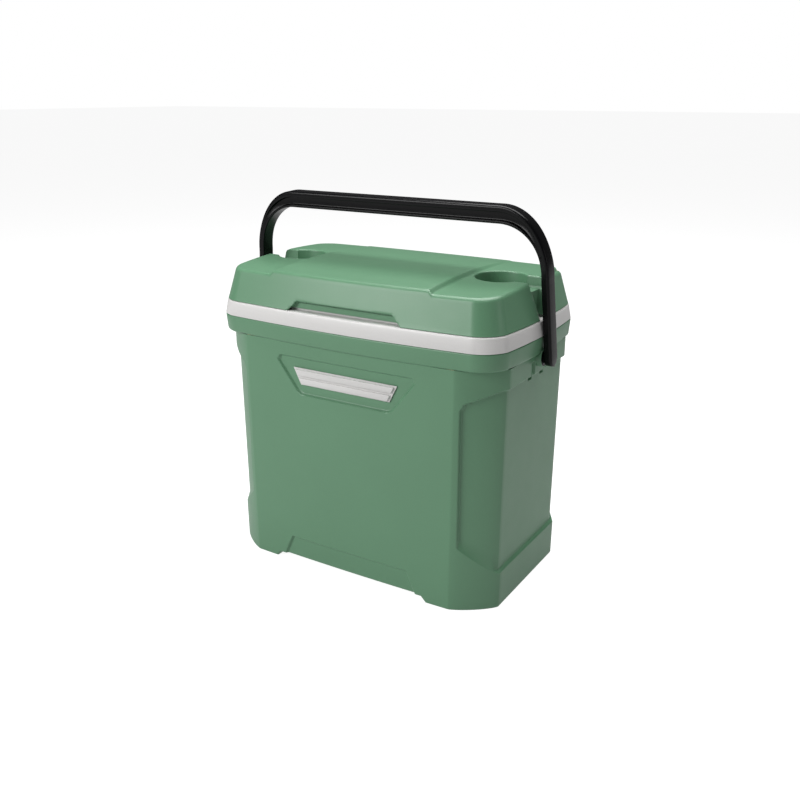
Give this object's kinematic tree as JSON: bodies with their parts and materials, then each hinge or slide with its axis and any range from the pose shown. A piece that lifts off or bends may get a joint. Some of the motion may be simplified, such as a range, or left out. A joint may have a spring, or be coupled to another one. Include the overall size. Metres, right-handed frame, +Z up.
{
  "type": "cooler chest",
  "caption": "Insulated picnic cooler chest with a swing-up carrying handle, a hinged lid with moulded can holders, a white liner band and moulded feet.",
  "frame": {"origin": "on the ground, under the middle of the chest", "axes": "+Z up, +X towards the right end of the chest, -Y towards its front"},
  "size_m": [0.4884, 0.291, 0.5286],
  "materials": {
    "green_plastic": "satin",
    "white_plastic": "satin",
    "black_plastic": "satin",
    "foam": "matte",
    "steel": "satin"
  },
  "bodies": {
    "chest": {"outer_shell": "green_plastic", "body_foam": "foam", "inner_liner": "white_plastic", "front_badge": "white_plastic", "left_pivot_socket": "black_plastic", "right_pivot_socket": "black_plastic", "left_hinge_body_leaf": "black_plastic", "right_hinge_body_leaf": "black_plastic", "left_hinge_pin": "steel", "right_hinge_pin": "steel", "left_body_screw_outer_left": "steel", "left_body_screw_outer_right": "steel", "right_body_screw_outer_left": "steel", "right_body_screw_outer_right": "steel"},
    "lid": {"lid_shell": "green_plastic", "lid_foam": "foam", "lid_panel": "white_plastic", "left_hinge_lid_leaf": "black_plastic", "right_hinge_lid_leaf": "black_plastic", "left_lid_screw_outer_left": "steel", "left_lid_screw_outer_right": "steel", "right_lid_screw_outer_left": "steel", "right_lid_screw_outer_right": "steel"},
    "handle": {"handle": "black_plastic"}
  },
  "joints": [
    {"name": "handle_swing", "type": "hinge", "parent": "chest", "child": "handle", "pos_m": [0, 0, 0.334], "axis": [1, 0, 0], "range_deg": [-126, 121]},
    {"name": "lid_hinge", "type": "hinge", "parent": "chest", "child": "lid", "pos_m": [0, 0.1445, 0.385], "axis": [-1, 0, 0], "range_deg": [0, 16]}
  ]
}
